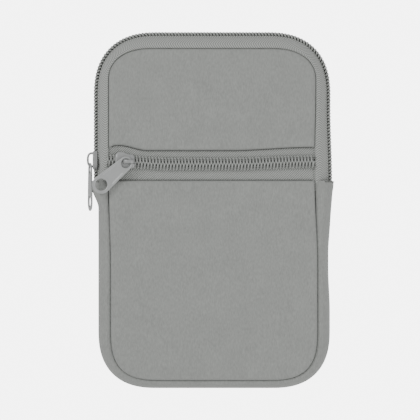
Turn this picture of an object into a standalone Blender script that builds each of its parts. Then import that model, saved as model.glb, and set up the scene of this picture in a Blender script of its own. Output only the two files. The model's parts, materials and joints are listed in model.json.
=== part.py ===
"""Neck pouch wallet: a flat padded pouch with a zipped top and a zipped front pocket.

The pouch hangs upright from two cord loops on its back. +Z is up, -Y is the front and the
origin is midway between the loops. Sizes below are in millimetres, counted from the middle of
the pouch's width (x), the middle of its thickness (y) and its lowest edge (z).

Run it with: blender --background --python part.py
"""
import math

import bmesh
import bpy
from mathutils import Matrix, Vector

MM = 0.001
GAP = 0.3
CORNER_STEPS = 7

# Panels: flat padded sheets inside the seam that runs round the pouch.
SEAM_HALF_WIDTH = 48.1
SEAM_BOTTOM = 3.5
SEAM_TOP = 157.2
SEAM_TOP_RADIUS = 17.3
SEAM_BOTTOM_RADIUS = 20.5
FACE_Y = 8.6
PANEL_THICKNESS = 1.6
LINING_THICKNESS = 0.45
POCKET_TOP = 95.8
FOLD_Z = 112.0
DIVIDER_FRONT_Y = -1.8
SLIP_POCKET_HALF_WIDTH = 40.0
SLIP_POCKET_TOP = 92.0
SLIP_POCKET_RISE = 5.0
LINING_INSET = 0.8
DIVIDER_RISE = 0.5

# Gusset: the strip of fabric round the sides and bottom, below the main zip.
GUSSET_HALF_WIDTH = 53.1
GUSSET_TOP = 95.0
GUSSET_RADIUS = 24.0
GUSSET_THICKNESS = 0.9
GUSSET_EDGE_STEP = 0.25
GUSSET_DEPTH = 4.4
GUSSET_EDGE_Y = 7.9
GUSSET_NARROWING = 0.32
MOUTH_HALF_WIDTH = 55.8
MOUTH_START = 80.0
MOUTH_END = 91.0

# Main zip: it runs up the left side, over the top and down the right side.
ZIP_HALF_WIDTH = 52.9
ZIP_TOP = 162.9
ZIP_RADIUS = 22.7
TAPE_THICKNESS = 0.5
TAPE_END = GUSSET_TOP + GAP

# Chain: two coils with a slot between them for the slider's post.
COIL_SEAT = GAP
COIL_HEIGHT = 1.2
COIL_INNER = 0.6
COIL_OUTER = 3.1

# Pocket zip: a straight zip across the front.
POCKET_ZIP_Z = 103.7
POCKET_ZIP_HALF_LENGTH = 47.5
POCKET_TAPE_Y = -6.7

# Sliders, in their own directions: along the chain, across it, and out from the tape.
SLIDER_HALF_LENGTH = 4.75
SLIDER_HALF_WIDTH = 4.5
PLATE_BOTTOM = COIL_SEAT + COIL_HEIGHT + GAP
PLATE_TOP = PLATE_BOTTOM + 0.9
BAR_HEIGHT = 3.6
MAIN_BAR_RISE = 0.25
CROWN_INSIDE = 4.85
CROWN_TOP = 5.5
CROWN_HALF_WIDTH = 0.85
CROWN_LEG = 0.8
CROWN_SINK = 0.5
CROWN_BEVEL_RUN = 0.9
CROWN_BEVEL_RISE = 0.7
# The post between the slider's plates, the bottom plate, and the lips of the top plate.
POST_HALF_WIDTH = 0.3
BASE_HALF_WIDTH = 3.9
BASE_TOP = -0.8
BASE_BOTTOM = -1.7
LIP_WIDTH = 0.7
PLATE_FLAT_HALF_WIDTH = 2.0
PLATE_EDGE_DROP = 1.0
MAIN_SLIDER_Z = 105.35
MAIN_CROWN = (-3.65, 3.35)
MAIN_BAR = 1.75
POCKET_SLIDER_X = -40.25
POCKET_CROWN = (-4.65, 0.95)
POCKET_BAR = -3.05

# Pull tabs: a plate with a small eye for the slider and a large hole for a finger or a cord.
PULL_THICKNESS = 0.95
EYE_HOLE_RADIUS = 2.2
EYE_RADIUS = 3.2
END_HOLE_RADIUS = 2.75
END_RADIUS = 4.3
EYE_DISTANCE = EYE_HOLE_RADIUS + (EYE_RADIUS - EYE_HOLE_RADIUS) / 2
END_DISTANCE = EYE_DISTANCE + 15.0
MAIN_PULL_TWIST = math.radians(13)
POCKET_PULL_DROOP = math.radians(41)

# Cord loops: short tapes sewn to the back at both ends, which the neck cord runs through.
LOOP_X = 38.0
LOOP_Z = 142.0
LOOP_HALF_LENGTH = 9.0
LOOP_HALF_WIDTH = 5.0
LOOP_STRAP = 0.8
LOOP_SPACE = 4.4
LOOP_FOOT = 2.2
LOOP_OUTER_SLANT = 0.6
LOOP_INNER_SLANT = 1.4

ORIGIN = Vector((0.0, FACE_Y + GAP + LOOP_SPACE / 2, LOOP_Z))

FABRIC_GREY = (0.31, 0.32, 0.305)
LINING_GREY = (0.20, 0.21, 0.20)
TAPE_GREY = (0.27, 0.28, 0.265)
COIL_GREY = (0.22, 0.23, 0.215)
METAL_GREY = (0.42, 0.43, 0.425)


def place(x, y, z):
    """A point of the pouch in millimetres, as a point of the part's frame in metres."""
    return (Vector((x, y, z)) - ORIGIN) * MM


def surface(name, colour, roughness, metallic=0.0):
    """A Principled material, made once and then shared by name."""
    material = bpy.data.materials.get(name) or bpy.data.materials.new(name)
    material.use_nodes = True
    shader = material.node_tree.nodes["Principled BSDF"]
    shader.inputs["Base Color"].default_value = (*colour, 1.0)
    shader.inputs["Roughness"].default_value = roughness
    shader.inputs["Metallic"].default_value = metallic
    return material


def panel_fabric():
    return surface("padded_fabric", FABRIC_GREY, 0.9)


def lining_fabric():
    return surface("lining_fabric", LINING_GREY, 0.85)


def zip_tape():
    return surface("zip_tape", TAPE_GREY, 0.85)


def zip_coil():
    return surface("zip_coil", COIL_GREY, 0.5)


def painted_metal():
    return surface("painted_metal", METAL_GREY, 0.4, 0.3)


def finish(name, shape, material, pivot=None):
    """Turns a closed bmesh into a named object, with its origin on the pivot if one is given."""
    bmesh.ops.recalc_face_normals(shape, faces=shape.faces)
    if pivot is not None:
        bmesh.ops.translate(shape, verts=shape.verts, vec=-pivot)
    mesh = bpy.data.meshes.new(name)
    shape.to_mesh(mesh)
    shape.free()
    mesh.materials.append(material)
    piece = bpy.data.objects.new(name, mesh)
    if pivot is not None:
        piece.location = pivot
    bpy.context.scene.collection.objects.link(piece)
    return piece


def add_prism(shape, outline, to_point, low, high):
    """Adds the closed outline extruded from low to high; to_point maps (a, b, height)."""
    bottom = [shape.verts.new(to_point(a, b, low)) for a, b in outline]
    top = [shape.verts.new(to_point(a, b, high)) for a, b in outline]
    shape.faces.new(bottom)
    shape.faces.new(list(reversed(top)))
    for index in range(len(outline)):
        following = (index + 1) % len(outline)
        shape.faces.new((bottom[index], top[index], top[following], bottom[following]))


def sheet(name, outline, front_y, thickness, material, pivot=None):
    """A flat piece that faces the front, from its outline of (x, z) points."""
    shape = bmesh.new()
    add_prism(shape, outline, lambda x, z, y: place(x, y, z), front_y, front_y + thickness)
    return finish(name, shape, material, pivot)


def panel_outline(inset, bottom=SEAM_BOTTOM, top=SEAM_TOP, round_bottom=True, round_top=True):
    """The seam's outline moved inwards, with round or square corners at each end."""
    half_width = SEAM_HALF_WIDTH - inset
    outline = []
    for side, up, rounded in ((-1, 1, round_top), (1, 1, round_top),
                              (1, -1, round_bottom), (-1, -1, round_bottom)):
        edge = top - inset if up > 0 else bottom + inset
        radius = (SEAM_TOP_RADIUS if up > 0 else SEAM_BOTTOM_RADIUS) - inset
        if not rounded:
            outline.append((side * half_width, edge))
            continue
        steps = range(CORNER_STEPS + 1)
        if side * up > 0:
            steps = reversed(steps)
        for step in steps:
            angle = math.pi / 2 * step / CORNER_STEPS
            x = side * (half_width - radius + radius * math.cos(angle))
            outline.append((x, edge + up * radius * (math.sin(angle) - 1)))
    return outline


def arch(half_width, end_z, crown_z, radius, straight_steps=1):
    """Stations from the left end, over the crown and to the right end.

    Each station is a point (x, z) and the direction that faces outwards there. The crown lies
    above the ends for the zip and below them for the gusset.
    """
    up = 1 if crown_z > end_z else -1
    centre_z = crown_z - up * radius
    stations = []
    for step in range(straight_steps):
        z = end_z + (centre_z - end_z) * step / straight_steps
        stations.append((Vector((-half_width, z)), Vector((-1, 0))))
    for step in range(CORNER_STEPS + 1):
        angle = math.pi / 2 * step / CORNER_STEPS
        outward = Vector((-math.cos(angle), up * math.sin(angle)))
        centre = Vector((radius - half_width, centre_z))
        stations.append((centre + outward * radius, outward))
    mirrored = [(Vector((-p.x, p.y)), Vector((-n.x, n.y))) for p, n in reversed(stations)]
    return stations + mirrored


def sweep(name, stations, section, material, pivot=None):
    """Carries a closed section of (outward, y) points along the stations."""
    shape = bmesh.new()
    rings = []
    for point, outward in stations:
        ring = []
        for distance, y in section:
            spot = point + outward * distance
            ring.append(shape.verts.new(place(spot.x, y, spot.y)))
        rings.append(ring)
    for ring, next_ring in zip(rings, rings[1:]):
        for index in range(len(section)):
            following = (index + 1) % len(section)
            shape.faces.new((ring[index], ring[following], next_ring[following], next_ring[index]))
    shape.faces.new(rings[0])
    shape.faces.new(list(reversed(rings[-1])))
    return finish(name, shape, material, pivot)


def eased(value, start, end):
    """0 before start, 1 after end, and a smooth rise between."""
    share = min(max((value - start) / (end - start), 0.0), 1.0)
    return share * share * (3 - 2 * share)


def fold_pivot():
    """The fold line of the front flap, on the pouch's front face."""
    return place(0, -FACE_Y, FOLD_Z)


def make_panels():
    """The padded panels, the linings behind them and the sheets that divide the inside."""
    back_y = FACE_Y - PANEL_THICKNESS
    sheet("back_panel", panel_outline(0), back_y, PANEL_THICKNESS, panel_fabric())
    lining_y = back_y - GAP - LINING_THICKNESS
    sheet("back_lining", panel_outline(LINING_INSET), lining_y, LINING_THICKNESS, lining_fabric())
    slip_bottom = SEAM_BOTTOM + SLIP_POCKET_RISE
    slip_outline = [(-SLIP_POCKET_HALF_WIDTH, slip_bottom), (SLIP_POCKET_HALF_WIDTH, slip_bottom),
                    (SLIP_POCKET_HALF_WIDTH, SLIP_POCKET_TOP), (-SLIP_POCKET_HALF_WIDTH, SLIP_POCKET_TOP)]
    slip_y = lining_y - GAP - LINING_THICKNESS
    sheet("inner_slip_pocket", slip_outline, slip_y, LINING_THICKNESS, lining_fabric())
    divider = panel_outline(LINING_INSET, top=FOLD_Z + DIVIDER_RISE, round_top=False)
    sheet("pocket_divider", divider, DIVIDER_FRONT_Y, LINING_THICKNESS, lining_fabric())
    lower = panel_outline(0, top=POCKET_TOP, round_top=False)
    sheet("lower_front_panel", lower, -FACE_Y, PANEL_THICKNESS, panel_fabric())
    upper = panel_outline(0, bottom=FOLD_Z + GAP, round_bottom=False)
    sheet("upper_front_panel", upper, -FACE_Y, PANEL_THICKNESS, panel_fabric(), fold_pivot())
    flap_lining = panel_outline(LINING_INSET, bottom=FOLD_Z, round_bottom=False)
    flap_lining_y = -back_y + GAP
    sheet("flap_lining", flap_lining, flap_lining_y, LINING_THICKNESS, lining_fabric(), fold_pivot())


def make_gusset():
    """The strip round the sides and the bottom, which widens where the zip runs into it."""
    stations = []
    for point, outward in arch(GUSSET_HALF_WIDTH, GUSSET_TOP, 0.0, GUSSET_RADIUS, 12):
        flare = (MOUTH_HALF_WIDTH - GUSSET_HALF_WIDTH) * eased(point.y, MOUTH_START, MOUTH_END)
        narrowing = 1 - GUSSET_NARROWING * outward.y ** 2
        stations.append((point + outward * flare, outward * narrowing))
    steps = 8
    outer = []
    inner = []
    for step in range(steps + 1):
        angle = math.pi * (step / steps - 0.5)
        outer.append((GUSSET_DEPTH * (math.cos(angle) - 1), GUSSET_EDGE_Y * math.sin(angle)))
        distance = outer[-1][0] - GUSSET_THICKNESS * math.cos(angle) - GUSSET_EDGE_STEP
        inner.append((distance, (GUSSET_EDGE_Y - GUSSET_THICKNESS) * math.sin(angle)))
    sweep("gusset", stations, outer + list(reversed(inner)), panel_fabric())


def tape_section(side):
    """The main tape from the slot in the chain round to the seam; side is -1 for the front."""
    outer = [(0.0, 0.6), (0.0, 4.3), (-1.0, 6.0), (-2.6, 7.3), (-4.5, 8.0)]
    inner = [(-4.7, 7.5), (-2.9, 6.9), (-1.5, 5.8), (-0.5, 4.2), (-0.5, 0.6)]
    return [(outward, side * y) for outward, y in outer + inner]


def coil_section(side):
    """The main coil, on the outside of its tape."""
    corners = [(COIL_SEAT, COIL_INNER), (COIL_SEAT, COIL_OUTER),
               (COIL_SEAT + COIL_HEIGHT, COIL_OUTER), (COIL_SEAT + COIL_HEIGHT, COIL_INNER)]
    return [(outward, side * y) for outward, y in corners]


def make_main_zip():
    """The rear half of the zip, and the front half, which the fold parts into three."""
    rear = arch(ZIP_HALF_WIDTH, TAPE_END, ZIP_TOP, ZIP_RADIUS)
    sweep("main_zip_rear_tape", rear, tape_section(1), zip_tape())
    sweep("main_zip_rear_coil", rear, coil_section(1), zip_coil())
    front = arch(ZIP_HALF_WIDTH, FOLD_Z + GAP, ZIP_TOP, ZIP_RADIUS)
    sweep("main_zip_front_tape", front, tape_section(-1), zip_tape(), fold_pivot())
    sweep("main_zip_front_coil", front, coil_section(-1), zip_coil(), fold_pivot())
    for side, word in ((-1, "left"), (1, "right")):
        outward = Vector((side, 0))
        x = side * ZIP_HALF_WIDTH
        end = [(Vector((x, z)), outward) for z in (TAPE_END, FOLD_Z)]
        sweep(f"main_zip_{word}_end_tape", end, tape_section(-1), zip_tape())
        sweep(f"main_zip_{word}_end_coil", end, coil_section(-1), zip_coil())


def bar_outline(bottom, top):
    half_length = POCKET_ZIP_HALF_LENGTH
    return [(-half_length, bottom), (half_length, bottom), (half_length, top), (-half_length, top)]


def make_pocket_zip():
    """Two straight tapes with a coil along the inner edge of each."""
    coil_y = POCKET_TAPE_Y - COIL_SEAT - COIL_HEIGHT
    lower = bar_outline(POCKET_TOP + GAP, POCKET_ZIP_Z - COIL_INNER)
    upper = bar_outline(POCKET_ZIP_Z + COIL_INNER, FOLD_Z - GAP)
    sheet("pocket_zip_lower_tape", lower, POCKET_TAPE_Y, TAPE_THICKNESS, zip_tape())
    sheet("pocket_zip_upper_tape", upper, POCKET_TAPE_Y, TAPE_THICKNESS, zip_tape())
    lower_coil = bar_outline(POCKET_ZIP_Z - COIL_OUTER, POCKET_ZIP_Z - COIL_INNER)
    upper_coil = bar_outline(POCKET_ZIP_Z + COIL_INNER, POCKET_ZIP_Z + COIL_OUTER)
    sheet("pocket_zip_lower_coil", lower_coil, coil_y, COIL_HEIGHT, zip_coil())
    sheet("pocket_zip_upper_coil", upper_coil, coil_y, COIL_HEIGHT, zip_coil())


def slider_section():
    """The slider across the chain: a top plate with lips, a thin post and a bottom plate."""
    lip_inside = SLIDER_HALF_WIDTH - LIP_WIDTH
    top = [(0.0, PLATE_TOP), (PLATE_FLAT_HALF_WIDTH, PLATE_TOP),
           (SLIDER_HALF_WIDTH, PLATE_TOP - PLATE_EDGE_DROP), (SLIDER_HALF_WIDTH, GAP),
           (lip_inside, GAP), (lip_inside, PLATE_BOTTOM), (POST_HALF_WIDTH, PLATE_BOTTOM)]
    base = [(POST_HALF_WIDTH, BASE_TOP), (BASE_HALF_WIDTH, BASE_TOP),
            (BASE_HALF_WIDTH, BASE_BOTTOM), (0.0, BASE_BOTTOM)]
    right = top + base
    left = [(-across, out) for across, out in reversed(right) if across > 0]
    return right + left


def make_slider(name, to_frame, crown, pivot):
    """A slider body with its crown; to_frame maps (along, across, out) into the part's frame."""
    shape = bmesh.new()
    add_prism(shape, slider_section(), lambda across, out, along: to_frame(along, across, out),
              -SLIDER_HALF_LENGTH, SLIDER_HALF_LENGTH)
    body = finish(name, shape, painted_metal(), pivot)
    rear, front = crown
    root = PLATE_TOP - CROWN_SINK
    shoulder = CROWN_TOP - CROWN_BEVEL_RISE
    outline = [(rear, root), (rear, shoulder), (rear + CROWN_BEVEL_RUN, CROWN_TOP),
               (front - CROWN_BEVEL_RUN, CROWN_TOP), (front, shoulder), (front, root),
               (front - CROWN_LEG, root), (front - CROWN_LEG, CROWN_INSIDE),
               (rear + CROWN_LEG, CROWN_INSIDE), (rear + CROWN_LEG, root)]
    arch_shape = bmesh.new()
    add_prism(arch_shape, outline, lambda along, out, across: to_frame(along, across, out),
              -CROWN_HALF_WIDTH, CROWN_HALF_WIDTH)
    crown_guide = finish(name + "_crown_guide", arch_shape, painted_metal(), pivot)
    combine(body, crown_guide, "UNION")
    return body


def combine(piece, guide, operation):
    """Adds the guide to the piece, or cuts it away, and hides the guide."""
    boolean = piece.modifiers.new(guide.name, "BOOLEAN")
    boolean.operation = operation
    boolean.solver = "EXACT"
    boolean.object = guide
    guide.hide_render = True
    guide.display_type = "WIRE"


def circle(centre, radius, start, end, steps):
    """Points on an arc about a centre on the tab's middle line, from angle start to end."""
    points = []
    for step in range(steps + 1):
        angle = start + (end - start) * step / steps
        points.append((centre + radius * math.cos(angle), radius * math.sin(angle)))
    return points


def make_pull(name, pivot, direction, sideways, outward):
    """A pull tab that turns about the pivot, which is the middle of the bar of its eye."""
    def to_frame(distance, across, out):
        return pivot + (direction * distance + sideways * across + outward * out) * MM

    lean = math.asin((END_RADIUS - EYE_RADIUS) / (END_DISTANCE - EYE_DISTANCE))
    side = math.pi / 2 + lean
    outline = circle(END_DISTANCE, END_RADIUS, -side, side, 14)
    outline += circle(EYE_DISTANCE, EYE_RADIUS, side, 2 * math.pi - side, 12)
    half = PULL_THICKNESS / 2
    shape = bmesh.new()
    add_prism(shape, outline, to_frame, -half, half)
    tab = finish(name, shape, painted_metal(), pivot)
    for word, centre, radius in (("eye", EYE_DISTANCE, EYE_HOLE_RADIUS),
                                 ("end", END_DISTANCE, END_HOLE_RADIUS)):
        hole = bmesh.new()
        add_prism(hole, circle(centre, radius, 0, 2 * math.pi, 16)[:-1], to_frame, -2 * half, 2 * half)
        guide = finish(f"{name}_{word}_guide", hole, painted_metal(), pivot)
        combine(tab, guide, "DIFFERENCE")
    return tab


def make_main_slider():
    """The main slider at the zip's closed end, low on the left, with its tab hanging down."""
    def to_frame(along, across, out):
        return place(-ZIP_HALF_WIDTH - out, across, MAIN_SLIDER_Z - along)

    pivot = to_frame(0, 0, 0)
    make_slider("main_slider_body", to_frame, MAIN_CROWN, pivot)
    bar = to_frame(MAIN_BAR, 0, BAR_HEIGHT + MAIN_BAR_RISE)
    twist = Matrix.Rotation(MAIN_PULL_TWIST, 3, "Z")
    make_pull("main_pull_tab", bar, Vector((0, 0, -1)), twist @ Vector((0, 1, 0)),
              twist @ Vector((-1, 0, 0)))


def make_pocket_slider():
    """The pocket slider at its closed end, on the left, with its tab lying on the panel."""
    def to_frame(along, across, out):
        return place(POCKET_SLIDER_X - along, POCKET_TAPE_Y - out, POCKET_ZIP_Z + across)

    pivot = to_frame(0, 0, 0)
    make_slider("pocket_slider_body", to_frame, POCKET_CROWN, pivot)
    droop = POCKET_PULL_DROOP
    eye = Vector((-math.cos(droop), 0, -math.sin(droop))) * EYE_DISTANCE * MM
    bar = to_frame(POCKET_BAR, 0, BAR_HEIGHT)
    eye_shift = Vector((-EYE_DISTANCE * MM, 0, 0)) - eye
    make_pull("pocket_pull_tab", bar + eye_shift, Vector((-math.cos(droop), 0, -math.sin(droop))),
              Vector((math.sin(droop), 0, -math.cos(droop))), Vector((0, -1, 0)))
    tab = bpy.data.objects["pocket_pull_tab"]
    move_origin([tab] + [bpy.data.objects[f"pocket_pull_tab_{word}_guide"] for word in ("eye", "end")], bar)


def move_origin(pieces, point):
    """Moves the origin of each piece to a point and leaves its shape where it is."""
    for piece in pieces:
        piece.data.transform(Matrix.Translation(piece.location - point))
        piece.location = point


def make_cord_loops():
    """A bridge of tape on each side of the back, open through its width for the neck cord."""
    for side, word in ((-1, "left"), (1, "right")):
        base = FACE_Y + GAP
        inner_top = base + LOOP_SPACE
        outer_top = inner_top + LOOP_STRAP
        reach = LOOP_HALF_LENGTH
        shoulder = reach - LOOP_FOOT
        low, high = LOOP_Z - reach, LOOP_Z + reach
        inner_low, inner_high = LOOP_Z - shoulder, LOOP_Z + shoulder
        foot = base + LOOP_STRAP
        outline = [(low, base), (low, foot), (inner_low - LOOP_STRAP, foot),
                   (inner_low + LOOP_OUTER_SLANT, outer_top),
                   (inner_high - LOOP_OUTER_SLANT, outer_top),
                   (inner_high + LOOP_STRAP, foot), (high, foot), (high, base),
                   (inner_high, base), (inner_high - LOOP_INNER_SLANT, inner_top),
                   (inner_low + LOOP_INNER_SLANT, inner_top), (inner_low, base)]
        shape = bmesh.new()
        centre = side * LOOP_X
        add_prism(shape, outline, lambda z, y, x: place(x, y, z),
                  centre - LOOP_HALF_WIDTH, centre + LOOP_HALF_WIDTH)
        finish(f"{word}_cord_loop", shape, zip_tape())


def main():
    for old in list(bpy.data.objects):
        bpy.data.objects.remove(old)
    make_panels()
    make_gusset()
    make_main_zip()
    make_pocket_zip()
    make_main_slider()
    make_pocket_slider()
    make_cord_loops()


main()
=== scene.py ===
"""Looks of the neck pouch wallet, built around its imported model.

Sizes are in millimetres in the pouch's own directions: x from the middle of its width, y from
the middle of its thickness with the front at minus, and z up from its lowest edge.
"""

import json
import math

import bmesh
import bpy
import numpy as np
from mathutils import Matrix, Vector, geometry
from mathutils.bvhtree import BVHTree


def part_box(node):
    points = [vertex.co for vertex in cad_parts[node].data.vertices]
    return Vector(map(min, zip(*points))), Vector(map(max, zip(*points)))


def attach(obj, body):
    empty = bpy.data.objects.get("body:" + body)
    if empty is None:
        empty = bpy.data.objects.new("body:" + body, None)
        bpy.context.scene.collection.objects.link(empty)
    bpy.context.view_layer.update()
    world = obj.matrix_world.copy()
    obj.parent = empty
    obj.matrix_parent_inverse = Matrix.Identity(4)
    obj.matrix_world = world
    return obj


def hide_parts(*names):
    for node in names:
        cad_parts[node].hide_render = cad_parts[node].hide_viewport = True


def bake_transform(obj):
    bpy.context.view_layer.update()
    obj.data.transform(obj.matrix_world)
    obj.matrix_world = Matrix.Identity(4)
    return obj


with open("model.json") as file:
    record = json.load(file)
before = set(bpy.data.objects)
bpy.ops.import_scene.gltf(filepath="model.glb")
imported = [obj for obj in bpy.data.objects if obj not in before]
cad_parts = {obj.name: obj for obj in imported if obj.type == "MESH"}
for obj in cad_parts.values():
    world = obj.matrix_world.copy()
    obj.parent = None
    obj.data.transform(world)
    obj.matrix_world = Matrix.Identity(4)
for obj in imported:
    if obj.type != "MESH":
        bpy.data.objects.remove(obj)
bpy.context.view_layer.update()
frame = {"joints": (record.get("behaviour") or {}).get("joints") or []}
MM = 0.001

# Places read from the frame.
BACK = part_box("back_panel")
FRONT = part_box("upper_front_panel")
BASE_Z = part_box("gusset")[0].z
MID_Y = (FRONT[0].y + BACK[1].y) / 2
FACE_Y = (BACK[1].y - FRONT[0].y) / 2 / MM
JOINTS = {joint["name"]: joint for joint in frame["joints"]}
FOLD_Z = (JOINTS["flap_fold"]["pos_m"][2] - BASE_Z) / MM
SEAM_TOP = (BACK[1].z - BASE_Z) / MM
SEAM_HALF = BACK[1].x / MM
ZIP_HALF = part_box("main_zip_rear_tape")[1].x / MM
ZIP_TOP = (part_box("main_zip_rear_tape")[1].z - BASE_Z) / MM
GUSSET_TOP = (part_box("gusset")[1].z - BASE_Z) / MM
POCKET_TOP = (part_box("lower_front_panel")[1].z - BASE_Z) / MM
POCKET_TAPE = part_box("pocket_zip_lower_tape")
TAPE_FACE_Y = (POCKET_TAPE[0].y - MID_Y) / MM
CHAIN_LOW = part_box("pocket_zip_lower_coil")[0].z
CHAIN_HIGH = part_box("pocket_zip_upper_coil")[1].z
CHAIN_Z = ((CHAIN_LOW + CHAIN_HIGH) / 2 - BASE_Z) / MM

# Lines of the seams and edges, finer than the CAD's.
SEAM_BOTTOM = 3.1
SEAM_CORNER = 20.0
SEAM_CORNER_HEIGHT = 14.5
SEAM_POWER = 2.25
LOW_CORNER = 24.0
LOW_CORNER_POWER = 3.0
LOW_SEAM_LEFT = SEAM_HALF - 1.2
LOW_SEAM_RIGHT = SEAM_HALF + 0.8
GUSSET_LEFT = 52.95
GUSSET_RIGHT = 55.0
GUSSET_BOTTOM = -0.9
GUSSET_CORNER = 27.0
ZIP_CORNER = 27.5
CORNER_POWER = 2.45

# Zip chain.
COIL_PITCH = 1.5
WIRE_RADIUS = 0.42
CORE_RADIUS = 0.5
COIL_REACH = 3.05
COIL_OVERLAP = 0.5
COIL_MIDDLE = 1.0
COIL_RISE = 0.54
COIL_LEAN = 0.05
TAPE_THICKNESS = 0.5
STITCH_PITCH = 2.6


def place(x, y, z):
    """A point of the pouch in millimetres, in the frame's metres."""
    return Vector((x * MM, MID_Y + y * MM, BASE_Z + z * MM))


def eased(value, start, end):
    """0 before start, 1 after end, and a smooth rise between."""
    share = min(max((value - start) / (end - start), 0.0), 1.0)
    return share * share * (3 - 2 * share)


def signed_power(value, power):
    """A power of the value's size, with the value's sign."""
    return math.copysign(abs(value) ** power, value)


# ---------------------------------------------------------------- materials

def add_node(tree, kind, **settings):
    node = tree.nodes.new(kind)
    for name, value in settings.items():
        setattr(node, name, value)
    return node


def base_material(name, colour, roughness, metallic=0.0, specular=0.5):
    material = bpy.data.materials.new(name)
    material.use_nodes = True
    tree = material.node_tree
    shader = tree.nodes["Principled BSDF"]
    shader.inputs["Base Color"].default_value = (*colour, 1.0)
    shader.inputs["Roughness"].default_value = roughness
    shader.inputs["Metallic"].default_value = metallic
    shader.inputs["Specular IOR Level"].default_value = specular
    return material, tree, shader


def vary_colour(tree, shader, factor, colour, dark, light):
    """Mixes the base colour between two shares of the colour by a factor socket."""
    ramp = add_node(tree, "ShaderNodeMix", data_type="RGBA")
    tree.links.new(factor, ramp.inputs["Factor"])
    ramp.inputs["A"].default_value = (*scaled(colour, dark), 1.0)
    ramp.inputs["B"].default_value = (*scaled(colour, light), 1.0)
    tree.links.new(ramp.outputs["Result"], shader.inputs["Base Color"])


def noise(tree, vector, scale, detail=2.0):
    node = add_node(tree, "ShaderNodeTexNoise")
    node.inputs["Scale"].default_value = scale
    node.inputs["Detail"].default_value = detail
    tree.links.new(vector, node.inputs["Vector"])
    return node.outputs["Fac"]


def combine(tree, operation, first, second):
    node = add_node(tree, "ShaderNodeMath", operation=operation)
    for socket, value in zip(node.inputs, (first, second)):
        if isinstance(value, (int, float)):
            socket.default_value = value
        else:
            tree.links.new(value, socket)
    return node.outputs["Value"]


def bump(tree, shader, height, distance, strength=1.0):
    node = add_node(tree, "ShaderNodeBump")
    node.inputs["Distance"].default_value = distance
    node.inputs["Strength"].default_value = strength
    tree.links.new(height, node.inputs["Height"])
    tree.links.new(node.outputs["Normal"], shader.inputs["Normal"])


def scaled(colour, share):
    return tuple(channel * share for channel in colour)


def object_position(tree):
    return add_node(tree, "ShaderNodeTexCoord").outputs["Object"]


def fabric_material(name, colour):
    """Brushed knit over foam: a fine fibre grain, faint clouds and a soft sheen."""
    material, tree, shader = base_material(name, colour, 0.92, specular=0.25)
    position = object_position(tree)
    stretched = add_node(tree, "ShaderNodeVectorMath", operation="MULTIPLY")
    stretched.inputs[1].default_value = (1.0, 1.0, 0.35)
    tree.links.new(position, stretched.inputs[0])
    grain = noise(tree, stretched.outputs["Vector"], 1900.0, 4.0)
    clouds = noise(tree, position, 110.0, 4.0)
    knit = add_node(tree, "ShaderNodeTexVoronoi")
    knit.inputs["Scale"].default_value = 1500.0
    tree.links.new(position, knit.inputs["Vector"])
    mixed = combine(tree, "ADD", combine(tree, "MULTIPLY", grain, 0.8),
                    combine(tree, "MULTIPLY", clouds, 0.2))
    vary_colour(tree, shader, mixed, colour, 0.62, 1.38)
    height = combine(tree, "ADD", grain, combine(tree, "MULTIPLY", knit.outputs["Distance"], 0.5))
    bump(tree, shader, height, 0.00012, 0.55)
    shader.inputs["Sheen Weight"].default_value = 0.22
    shader.inputs["Sheen Roughness"].default_value = 0.5
    return material


def weave_position(tree):
    node = add_node(tree, "ShaderNodeAttribute", attribute_name="weave")
    split = add_node(tree, "ShaderNodeSeparateXYZ")
    tree.links.new(node.outputs["Vector"], split.inputs["Vector"])
    return node.outputs["Vector"], split.outputs["X"], split.outputs["Y"]


def tape_material(name, colour):
    """Zip tape: herringbone twill in wide bands, its ribs about a millimetre apart."""
    material, tree, shader = base_material(name, colour, 0.85, specular=0.3)
    vector, along, across = weave_position(tree)
    zigzag = combine(tree, "PINGPONG", across, 5.6)
    diagonal = combine(tree, "ADD", along, zigzag)
    ribs = combine(tree, "MULTIPLY_ADD", combine(tree, "SINE", combine(
        tree, "MULTIPLY", diagonal, 2 * math.pi / 1.1), 0.0), 0.5)
    yarn = combine(tree, "MULTIPLY_ADD", combine(tree, "SINE", combine(
        tree, "MULTIPLY", combine(tree, "SUBTRACT", along, zigzag), 2 * math.pi / 0.5), 0.0), 0.5)
    fibre = noise(tree, vector, 3.0, 3.0)
    pattern = combine(tree, "ADD", combine(tree, "MULTIPLY", ribs, 0.75),
                      combine(tree, "MULTIPLY", combine(tree, "MULTIPLY", yarn, fibre), 0.4))
    vary_colour(tree, shader, pattern, colour, 0.42, 1.55)
    bump(tree, shader, pattern, 0.00022, 0.8)
    shader.inputs["Sheen Weight"].default_value = 0.22
    return material


def lining_material(name, colour):
    """Plain woven lining: warp and weft threads half a millimetre apart."""
    material, tree, shader = base_material(name, colour, 0.7, specular=0.35)
    position = object_position(tree)
    split = add_node(tree, "ShaderNodeSeparateXYZ")
    tree.links.new(position, split.inputs["Vector"])
    waves = []
    for axis in ("X", "Z"):
        angle = combine(tree, "MULTIPLY", split.outputs[axis], 2 * math.pi / 0.0006)
        waves.append(combine(tree, "SINE", angle, 0.0))
    product = combine(tree, "MULTIPLY", waves[0], waves[1])
    weave = combine(tree, "ADD", combine(tree, "MULTIPLY", product, 0.5), 0.5)
    fibre = noise(tree, position, 800.0, 2.0)
    pattern = combine(tree, "ADD", combine(tree, "MULTIPLY", weave, 0.6),
                      combine(tree, "MULTIPLY", fibre, 0.4))
    vary_colour(tree, shader, pattern, colour, 0.85, 1.15)
    bump(tree, shader, pattern, 0.0001, 0.6)
    return material


def coil_material(name, colour):
    """Dyed nylon wire: smooth, with slight unevenness of the dye."""
    material, tree, shader = base_material(name, colour, 0.42, specular=0.5)
    dye = noise(tree, object_position(tree), 700.0, 2.0)
    vary_colour(tree, shader, dye, colour, 0.85, 1.15)
    bump(tree, shader, dye, 0.00004, 0.3)
    return material


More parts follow.
